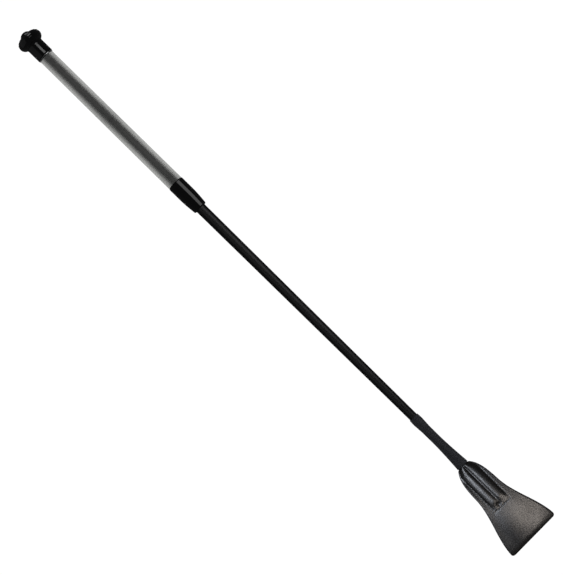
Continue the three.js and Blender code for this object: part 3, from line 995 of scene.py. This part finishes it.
@dataclass
class Flap:
    """The folded leather flap with its ridges and its seam."""

    length: float = 89.7
    leather: float = 1.3
    layer_half_gap: float = 0.15
    tail_wrap: float = math.radians(75)
    tail_radius: float = 3.423
    tail_spread: float = 18.0
    skive: float = 12.0
    neck_half: float = 4.9
    waist_half: float = 14.3
    edge_half: float = 27.0
    shoulder: float = 9.0
    flare_start: float = 30.0
    corner: float = 3.0
    ridge_end: float = 49.4
    tongue_offset: float = 4.4
    tongue_reach: float = 10.5
    groove_half: float = 0.2
    fullness: float = 0.8
    ridge_height: float = 1.45
    ridge_crest: float = 3.4
    run_out: float = 8.2
    curl: float = 0.8
    curl_start: tuple[float, float] = (6.0, 10.0)
    curl_end: tuple[float, float] = (76.0, 26.0)
    curl_offset: float = 0.5
    least_margin: float = 1.0
    seam_offset: float = 9.4
    seam_start: float = 13.5
    seam_cross: float = 50.0
    seam_corner: float = 2.2
    channel_depth: float = 0.2
    channel_half: float = 0.7
    cross_half: float = 0.4
    pucker_height: float = 0.07
    pucker_offset: float = 1.1
    stitch_pitch: float = 3.2
    stitch_length: float = 2.3
    stitch_radius: float = 0.24
    stitch_oval: float = 1.15
    stitch_rise: float = 0.12
    stitch_dive: float = 0.4
    stitch_sink: float = 0.22
    stitch_rings: int = 7
    stitch_sides: int = 8
    rub_depth: float = 0.25
    rub_share: float = 0.07
    margin_drop: float = 0.5
    margin_share: float = 0.6
    swellings: tuple[Swelling, ...] = (
        Swelling(74.0, 13.0, -0.45, 9.0),
        Swelling(66.0, -4.0, 0.3, 13.0),
    )
    trough_y: float = -17.0
    trough_depth: float = 0.35
    trough_half: float = 5.0
    trough_start: tuple[float, float] = (44.0, 20.0)
    dent_run: float = 46.6
    dent_y: float = -2.3
    dent_depth: float = 1.25
    dent_half: float = 1.6
    dent_stretch: float = 1.3
    back_share: float = 0.6
    neck_hump: float = 1.1
    neck_hump_length: float = 8.0
    neck_hump_start: float = 4.0
    fold_reach: float = 5.4
    fold_fullness: float = 1.25
    fold_steps: int = 42
    shoulder_half: float = 6.0
    shoulder_start: float = 1.2
    bend_half_length: float = 5.05
    coarse_end: float = 12.0
    coarse_rings: int = 26
    row_step: float = 0.5
    last_row_gap: float = 0.2
    least_half: float = 3.0
    columns: int = 58
    column_crowding: float = 0.9
    edge_steps: int = 6
    edge_power: int = 12
    nearly_flat: float = 1e-3
    neck: float = field(default_factory=lambda: span("whipping_thread")[1])

    def half(self, run: np.ndarray) -> np.ndarray:
        """Half width of the flap.

        The leather spreads as it leaves the whipping, the shoulders rise as
        1 - exp(-run / shoulder), the flare is a smoothstep, and a quarter circle rounds
        the corners of the wide edge.

        Args:
            run: Distance from the neck, in millimetres.

        Returns:
            The half width, in millimetres.
        """
        neck = mix(self.neck_half, self.shoulder_half, smoothstep(run / self.shoulder_start))
        waist = mix(neck, self.waist_half, 1 - np.exp(-np.maximum(run, 0) / self.shoulder))
        flare = smoothstep((run - self.flare_start) / (self.length - self.flare_start))
        corner = np.clip(run - (self.length - self.corner), 0, self.corner)
        cut = self.corner - np.sqrt(self.corner**2 - corner**2)
        return waist + (self.edge_half - self.waist_half) * flare - cut

    def ridge(self, run: np.ndarray, y: np.ndarray) -> np.ndarray:
        """Lift of the leather over the two tongues.

        Each ridge is a cosine lobe raised to the fullness, steeper on the side of the
        narrow groove; both draw together at the neck and run out past the tongues' ends.

        Args:
            run: Distance from the neck, in millimetres.
            y: Distance from the middle line, in millimetres.

        Returns:
            The lift, in millimetres.
        """
        scale = np.minimum(1, self.half(run) / self.tongue_reach)
        beside = np.abs(y) / scale - self.ridge_crest
        foot = 2 * self.tongue_offset + self.groove_half
        side = beside / np.where(beside < 0, self.ridge_crest + self.groove_half,
                                 foot - self.ridge_crest)
        lobe = np.cos(np.clip(side, -1, 1) * np.pi / 2).clip(0) ** self.fullness
        end = smoothstep((self.ridge_end - run) / self.run_out)
        return self.ridge_height * lobe * end

    def seam_distance(self, run: np.ndarray, y: np.ndarray) -> tuple[np.ndarray, np.ndarray]:
        """How far a place is from the seam.

        Args:
            run: Distance from the neck, in millimetres.
            y: Distance from the middle line, in millimetres.

        Returns:
            The distance to the nearer of the side and cross seams, and the distance along
            the seam, both in millimetres.
        """
        beyond = np.maximum(self.seam_start - run, 0) + np.maximum(run - self.seam_cross, 0)
        side = np.hypot(np.abs(np.abs(y) - self.seam_offset), beyond)
        cross = self.cross_distance(run, y)
        return np.minimum(side, cross), np.where(side < cross, run - self.seam_start, y)

    def cross_distance(self, run: np.ndarray, y: np.ndarray) -> np.ndarray:
        """Returns how far a place is from the seam across the flap, in millimetres."""
        past = np.maximum(np.abs(y) - self.seam_offset, 0)
        return np.hypot(np.abs(run - self.seam_cross), past)

    def margin_curl(self, run: np.ndarray, y: np.ndarray) -> np.ndarray:
        """Rise of both layers along one margin, from nothing at the seam.

        It is a smoothstep from beside the seam to the cut edge, faded out at the neck
        and before the blade.

        Args:
            run: Distance from the neck, in millimetres.
            y: Distance from the middle line, in millimetres.

        Returns:
            The rise, in millimetres.
        """
        foot = self.seam_offset + self.curl_offset
        share = smoothstep((-y - foot) / np.maximum(self.half(run) - foot, self.least_margin))
        rise = smoothstep((run - self.curl_start[0]) / self.curl_start[1])
        fall = smoothstep((self.curl_end[0] - run) / self.curl_end[1])
        return self.curl * share * rise * fall

    def wear(self, run: np.ndarray, y: np.ndarray, face: Face) -> np.ndarray:
        """Small hollows and swellings of the outer face.

        A channel follows the seam with puckers between its stitches, both edges are
        rubbed down, and the blade is dished by broad bells and a trough. The front has a
        dent where the groove ends.

        Args:
            run: Distance from the neck, in millimetres.
            y: Distance from the middle line, in millimetres.
            face: Which face it is.

        Returns:
            The lift, in millimetres, mostly below zero.
        """
        distance, along = self.seam_distance(run, y)
        cross = self.cross_distance(run, y)
        channel = -self.channel_depth * (
            bell(distance, self.channel_half) + bell(cross, self.cross_half)
        )
        wave = np.cos(2 * np.pi * along / self.stitch_pitch)
        beside = bell(distance - self.pucker_offset, self.channel_half)
        share = np.abs(y) / self.half(run)
        rub = self.rub_depth * smoothstep((share - 1 + self.rub_share) / self.rub_share)
        drop = self.margin_drop * smoothstep((share - 1 + self.margin_share) / self.margin_share)
        fine = channel + self.pucker_height * wave * beside - rub - drop
        trough = self.trough_depth * bell(y - self.trough_y + 0 * run, self.trough_half)
        trough = trough * smoothstep((run - self.trough_start[0]) / self.trough_start[1])
        broad = sum(swelling.lift(run, y) for swelling in self.swellings) - trough
        if face is Face.BACK:
            return fine + self.back_share * broad
        away = np.hypot((run - self.dent_run) / self.dent_stretch, y - self.dent_y)
        return fine + broad - self.dent_depth * bell(away, self.dent_half)

    def layer(
        self, run: np.ndarray, across: np.ndarray, depth: np.ndarray, face: Face
    ) -> np.ndarray:
        """One face's leather, from the tail round the rod to the middle of the fold.

        Each cross-section is an arc of half angle `wrap` that opens out flat at the neck:
        y is (radius + thickness) sin(angle) and z is the same with a cosine, lowered by
        the radius and lifted by the ridges, the wear and the hump over the rod's end.

        Args:
            run: Distance from the neck, in millimetres.
            across: Share of the half width, from -1 to 1.
            depth: 0 on the inner face and 1 on the outer face.
            face: Which face it is.

        Returns:
            Points by xyz, in millimetres.
        """
        flat = smoothstep((run + self.tail_spread) / self.tail_spread)
        wrap = self.tail_wrap * (1 - flat) + self.nearly_flat
        narrow = mix(self.tail_radius * self.tail_wrap, self.neck_half, flat)
        half = np.where(run < 0, narrow, self.half(run))
        radius = half / wrap
        thickness = mix(FITS.tail_leather, self.leather,
                        smoothstep((run + self.skive) / self.skive)) * depth
        angle = wrap * across
        y = (radius + thickness) * np.sin(angle)
        top = mix(self.tail_radius, self.layer_half_gap, flat)
        lift = flat * self.ridge(run, y) + depth * flat * self.wear(run, y, face)
        swell = smoothstep((run + self.neck_hump_start) / self.neck_hump_start)
        hump = self.neck_hump * bell(run, self.neck_hump_length) * swell
        lift = lift + hump * np.cos(np.clip(across, -1, 1) * np.pi / 2) ** 2
        lift = lift + flat * face.value * self.margin_curl(run, y)
        z = top - radius + (radius + thickness) * np.cos(angle) + lift
        return np.stack([self.neck + run + 0 * y, y, z * face.value], axis=-1)

    def section(self) -> tuple[np.ndarray, np.ndarray, np.ndarray]:
        """One closed line round the leather's section.

        It goes over the outer face, round one edge, back over the inner face and round
        the other edge; the edges are half circles, drawn in by `inset`.

        Returns:
            The share across, the depth, and the inset in millimetres.
        """
        turned = np.pi / 2 * self.column_crowding
        across = np.sin(np.linspace(-1, 1, self.columns) * turned) / np.sin(turned)
        turn = np.linspace(0, np.pi, self.edge_steps + 2)[1:-1]
        ones = np.ones(self.edge_steps)
        shares = np.concatenate([across, ones, across[::-1], -ones])
        depths = np.concatenate([np.ones(self.columns), (1 + np.cos(turn)) / 2,
                                 np.zeros(self.columns), (1 - np.cos(turn)) / 2])
        round_edge = self.leather / 2 * (1 - np.sin(turn))
        flat_edge = self.leather / 2 * np.abs(across) ** self.edge_power
        insets = np.concatenate([flat_edge, round_edge, flat_edge, round_edge])
        return shares, depths, insets

    def leather_rings(self) -> np.ndarray:
        """The whole sheet, from the front tail over the fold to the back tail.

        Over the fold a point at height h above the middle plane goes to
        (centre + e cos^f t, h sin t), with t from +90 to -90 degrees and f the fullness,
        where the reach e is the fold's own on the outside and a leather less inside.

        Returns:
            Rings by points by xyz, in millimetres.
        """
        shares, depths, insets = self.section()
        fold = self.length - self.fold_reach
        tails = np.linspace(-FITS.tail_length, -self.coarse_end, self.coarse_rings)
        rows = np.arange(-self.coarse_end + self.row_step, fold - self.last_row_gap,
                         self.row_step)
        runs = np.concatenate([tails, rows, [fold]])[:, None]
        shrink = 1 - insets[None, :] / np.maximum(self.half(runs), self.least_half)
        front, back = (self.layer(runs, shares * shrink, depths[None, :] + 0 * runs, face)
                       for face in Face)
        turn = np.linspace(np.pi / 2, -np.pi / 2, self.fold_steps)[1:-1, None]
        share = (np.pi / 2 - turn) / np.pi
        height = mix(front[-1:, :, 2], -back[-1:, :, 2], share)
        reach = self.fold_reach - self.leather * (1 - depths)
        run = fold + reach * np.cos(turn) ** self.fold_fullness
        y = shares * (self.half(run) - insets)
        bend = np.stack([self.neck + run, y, height * np.sin(turn)], axis=-1)
        closed = np.concatenate([front, bend, back[::-1]])
        return np.concatenate([self.tip(closed[0]), closed, self.tip(closed[-1])])

    def tip(self, ring: np.ndarray) -> np.ndarray:
        """Closes the end of a tail on the middle line between its inner and outer faces.

        Args:
            ring: The last ring.

        Returns:
            A ring whose outer and inner points meet in pairs.
        """
        half = self.columns + self.edge_steps
        order = (self.columns - 1 - np.arange(2 * half)) % (2 * half)
        partner = (order + half - self.edge_steps) % (2 * half)
        line = (ring + ring[partner]) / 2
        line[self.columns : half] = (ring[self.columns - 1] + ring[half]) / 2
        line[-self.edge_steps :] = (ring[0] + ring[-self.edge_steps - 1]) / 2
        return line[None, :]

    def seam_line(self) -> tuple[np.ndarray, np.ndarray]:
        """Middles and headings of the stitches, evenly spaced along the U of the seam.

        Returns:
            Run and y of each stitch, and its unit heading, one row each.
        """
        inner, low = self.seam_cross - self.seam_corner, self.seam_offset - self.seam_corner
        corners = np.array([[self.seam_start, self.seam_offset], [inner, self.seam_offset],
                            [self.seam_cross, low], [self.seam_cross, -low],
                            [inner, -self.seam_offset], [self.seam_start, -self.seam_offset]])
        length = np.concatenate([[0], np.cumsum(np.linalg.norm(np.diff(corners, axis=0), axis=1))])
        count = round(length[-1] / self.stitch_pitch)
        middle = (np.arange(count) + 0.5) / count * length[-1]
        reach = self.stitch_length / 2
        ends = [np.stack([np.interp(middle + s, length, c) for c in corners.T], 1)
                for s in (-reach, reach)]
        heading = ends[1] - ends[0]
        return (ends[0] + ends[1]) / 2, heading / np.linalg.norm(heading, axis=1)[:, None]

    def stitches(self, face: Face) -> bpy.types.Object:
        """Makes the stitches of one face.

        A stitch is a grid of rings by points: the ring radius falls to nothing at both
        ends as sqrt(1 - share^4), and its middle line is a parabola that dives into the
        leather. Every stitch is the same grid carried to its own place and heading.

        Args:
            face: Which face it is.

        Returns:
            The piece, one closed shell for each stitch.
        """
        places, headings = self.seam_line()
        rings, sides = self.stitch_rings, self.stitch_sides
        share = np.linspace(-1, 1, rings)[:, None]
        angle = np.linspace(0, 2 * np.pi, sides, endpoint=False)[None, :]
        size = self.stitch_radius * np.sqrt(np.clip(1 - share**4, 0, 1))
        along = share * self.stitch_length / 2 + 0 * angle
        aside = size * np.cos(angle) * self.stitch_oval
        up = size * np.sin(angle) + self.stitch_rise - self.stitch_dive * share**2
        level = self.layer_half_gap + self.leather - self.stitch_sink
        along, aside, up = (a.ravel()[None, :] for a in (along, aside, up))
        run = places[:, :1] + headings[:, :1] * along - headings[:, 1:] * aside
        y = places[:, 1:] + headings[:, 1:] * along + headings[:, :1] * aside
        z = (level + up + 0 * run) * face.value
        points = np.stack([self.neck + run, y, z], axis=-1).reshape(-1, 3)
        i, j = np.meshgrid(np.arange(rings - 1), np.arange(sides), indexing="ij")
        j2 = (j + 1) % sides
        one = np.stack([i * sides + j, i * sides + j2,
                        (i + 1) * sides + j2, (i + 1) * sides + j], -1)
        offsets = np.arange(len(places))[:, None, None] * rings * sides
        quads = (one.reshape(1, -1, 4) + offsets).reshape(-1, 4)
        name = f"stitches_{face.name.lower()}"
        return mesh_piece(name, points, quads, points[quads][:, :, :2], np.ones(len(points)))

    def bend(self, piece: bpy.types.Object) -> None:
        """Bakes a piece's placement into its mesh."""
        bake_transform(piece)

    def build(self) -> None:
        """Makes the leather and its stitches."""
        leather = ring_piece("flap_leather", self.leather_rings(), closed_path=False)
        settle(leather, FLAP_LEATHER, "flap_neck_front", "flap_neck_back", "flap_blade",
               body=None)
        self.bend(leather)
        for face in Face:
            stitches = settle(self.stitches(face), STITCH_THREAD,
                              f"seam_thread_{face.name.lower()}", body=None)
            self.bend(stitches)


# ---------------------------------------------------------------- inner parts


def dress_inner_parts() -> None:
    """Gives the parts that lie inside the crop their own finishes."""
    finishes = {
        "core_rod": ROD_FIBRE,
        "grip_former": FORMER_PLASTIC,
        "tongue_strip_left": TONGUE_LEATHER,
        "tongue_strip_right": TONGUE_LEATHER,
    }
    for node, finish in finishes.items():
        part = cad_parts[node]
        part.data.materials.clear()
        part.data.materials.append(finish.material())
        LOG.info("%s: %s", node, finish.name)


# ---------------------------------------------------------------- studio


class Reach(Enum):
    """Which kind of light a soft box gives."""

    GLOSS = "gloss"
    MATT = "matt"
    BOTH = "both"


class Audience(Enum):
    """Which pieces a soft box lights; no names stand for all of them."""

    ALL = ()
    SLEEVE = ("silver_sleeve",)
    CAP = ("butt_cap", "cap_dome")
    STEM = ("bright_ring", "shaft_ferrule", "shaft_braid", "neck_whipping")
    BRAID = ("shaft_braid", "neck_whipping")
    FLAP = ("flap_leather", "stitches_front", "stitches_back")

    def receivers(self) -> bpy.types.Collection | None:
        """Returns the collection of its pieces, made once, or None for all of them."""
        if not self.value:
            return None
        found = bpy.data.collections.get(self.name.lower())
        if found is None:
            found = bpy.data.collections.new(self.name.lower())
            for name in self.value:
                found.objects.link(bpy.data.objects[name])
        return found


def standing(place: Vector, back: Vector, right: Vector) -> Matrix:
    """Returns how a lamp or a camera stands, from its place and its own back and right."""
    turn = Matrix((right, back.cross(right), back)).transposed().to_4x4()
    return Matrix.Translation(place) @ turn


@dataclass(frozen=True)
class SoftBox:
    """One rectangular soft box, the first of its two sizes lying along the crop."""

    name: str
    place: tuple[float, float, float]
    aim: tuple[float, float, float]
    size: tuple[float, float]
    radiance: float
    colour: str = "ffffff"
    reach: Reach = Reach.BOTH
    audience: Audience = Audience.ALL

    def build(self) -> None:
        """Hangs the box with its face towards its aim."""
        data = bpy.data.lights.new(self.name, "AREA")
        data.shape = "RECTANGLE"
        data.size, data.size_y = self.size
        data.energy = self.radiance * math.pi * self.size[0] * self.size[1]
        data.color = linear(self.colour)[:3]
        lamp = bpy.data.objects.new(self.name, data)
        back = (Vector(self.place) - Vector(self.aim)).normalized()
        right = (Vector((1, 0, 0)) - back * back.x).normalized()
        lamp.matrix_world = standing(Vector(self.place), back, right)
        lamp.visible_camera = False
        lamp.visible_diffuse = self.reach is not Reach.GLOSS
        lamp.visible_glossy = self.reach is not Reach.MATT
        bpy.context.scene.collection.objects.link(lamp)
        lamp.light_linking.receiver_collection = self.audience.receivers()


@dataclass
class Studio:
    """White sweep, soft boxes and camera."""

    floor_size: float = 12.0
    lens: float = 113.0
    distance: float = 1.6
    tilt: float = math.radians(2)
    slant: float = math.radians(44.5)
    aim: tuple[float, float, float] = (0.006, 0.0, 0.012)
    white: float = 1.04
    dim: tuple[float, float, float] = (0.055, 0.055, 0.056)
    floor_gap: float = 0.0002
    boxes: tuple[SoftBox, ...] = (
        SoftBox("strip_box", (-0.22, 0.50, 0.56), (-0.22, 0.0, 0.0), (0.85, 0.55), 1.5,
                reach=Reach.GLOSS, audience=Audience.STEM),
        SoftBox("cap_strip", (-0.3655, 0.128, 0.282), (-0.2995, 0.0, 0.012), (0.019, 0.15), 2.7,
                reach=Reach.GLOSS, audience=Audience.CAP),
        SoftBox("cap_panel", (-0.55, -0.69, 0.3), (-0.32, 0.0, 0.0), (1.2, 1.1), 0.1,
                reach=Reach.GLOSS, audience=Audience.CAP),
        SoftBox("cap_end_box", (-1.05, 0.28, 0.3), (-0.32, 0.0, 0.0), (0.4, 0.4), 3.0,
                reach=Reach.GLOSS, audience=Audience.CAP),
        SoftBox("flap_box", (0.311, 0.013, 0.072), (0.311, 0.011, 0.012), (0.04, 0.012), 16.5,
                colour="fff4ea", reach=Reach.GLOSS, audience=Audience.FLAP),
        SoftBox("ridge_box", (0.256, -0.034, 0.14), (0.262, 0.0, 0.012), (0.05, 0.04), 26.0,
                colour="eef4ff", reach=Reach.GLOSS, audience=Audience.FLAP),
        SoftBox("stem_panel", (0.0, -0.4, 0.85), (0.0, 0.0, 0.0), (1.2, 0.5), 0.5,
                reach=Reach.GLOSS, audience=Audience.BRAID),
        SoftBox("ceiling", (0.0, 0.0, 1.9), (0.0, 0.0, 0.0), (2.0, 2.0), 0.7,
                reach=Reach.MATT),
        SoftBox("sleeve_glow", (0.0, 0.0, 0.0005), (0.0, 0.0, 1.0), (3.0, 3.0), 0.85,
                audience=Audience.SLEEVE),
        SoftBox("sleeve_top", (-0.2, 0.2, 1.2), (-0.2, 0.0, 0.0), (1.6, 0.8), 0.07,
                audience=Audience.SLEEVE),
        SoftBox("sleeve_side", (-0.2, 0.9, 0.2), (-0.2, 0.0, 0.0), (2.0, 0.3), 0.8,
                audience=Audience.SLEEVE),
        SoftBox("sleeve_far_side", (-0.2, -0.9, 0.3), (-0.2, 0.0, 0.0), (2.0, 0.6), 0.45,
                audience=Audience.SLEEVE),
    )

    def floor(self) -> None:
        """Lays the sweep so that the bulb and the flap's wide edge both touch it."""
        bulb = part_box("end_cap")
        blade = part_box("flap_blade")
        low, high = (bulb[0].x + bulb[1].x) / 2, blade[1].x
        slope = (blade[0].z - bulb[0].z) / (high - low)
        half = self.floor_size / 2
        x = np.array([-half, half, half, -half])
        y = np.array([-half, -half, half, half])
        z = (x - low) * slope - self.floor_gap
        mesh = bpy.data.meshes.new("floor")
        mesh.from_pydata(np.stack([x, y, z], 1).tolist(), [], [(0, 1, 2, 3)])
        floor = bpy.data.objects.new("floor", mesh)
        bpy.context.scene.collection.objects.link(floor)
        material = bpy.data.materials.new("white_sweep")
        material.use_nodes = True
        tree = material.node_tree
        tree.nodes.clear()
        glow = add_node(tree, "ShaderNodeEmission", {"Color": (1, 1, 1, 1), "Strength": self.white})
        add_node(tree, "ShaderNodeOutputMaterial", links={"Surface": glow.outputs[0]})
        mesh.materials.append(material)
        floor.visible_glossy = False

    def surround(self) -> None:
        """Gives the room: white to the camera and dim to everything that reflects it."""
        world = bpy.data.worlds.new("studio")
        world.use_nodes = True
        tree = world.node_tree
        tree.nodes.clear()
        path = add_node(tree, "ShaderNodeLightPath")
        colour = add_node(
            tree, "ShaderNodeMix",
            {"data_type": "RGBA", 6: (*self.dim, 1), 7: (*[self.white] * 3, 1)},
            {0: path.outputs["Is Camera Ray"]},
        )
        glow = add_node(tree, "ShaderNodeBackground", links={"Color": colour.outputs[2]})
        add_node(tree, "ShaderNodeOutputWorld", links={"Surface": glow.outputs[0]})
        bpy.context.scene.world = world

    def camera(self) -> None:
        """Stands the camera over the crop, tilted towards the flap, with the crop slanting."""
        data = bpy.data.cameras.new("camera")
        data.sensor_fit = "HORIZONTAL"
        data.lens = self.lens
        camera = bpy.data.objects.new("camera", data)
        back = Vector((math.sin(self.tilt), 0, math.cos(self.tilt)))
        upward = Vector((-math.sin(self.slant), math.cos(self.slant), 0))
        right = upward.cross(back).normalized()
        camera.matrix_world = standing(Vector(self.aim) + back * self.distance, back, right)
        bpy.context.scene.collection.objects.link(camera)
        bpy.context.scene.camera = camera

    def build(self) -> None:
        """Builds the studio round the finished crop."""
        bpy.context.scene.view_settings.view_transform = "Standard"
        for box in self.boxes:
            box.build()
        self.floor()
        self.surround()
        self.camera()
        LOG.info("studio: %d soft boxes", len(self.boxes))


def main() -> None:
    """Builds the crop from butt to flap, then the studio."""
    logging.basicConfig(level=logging.INFO, format="%(name)s: %(message)s")
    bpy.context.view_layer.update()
    ButtCap().build()
    Handle().build()
    Shaft().build()
    Flap().build()
    dress_inner_parts()
    Studio().build()


if __name__ == "__main__":
    main()
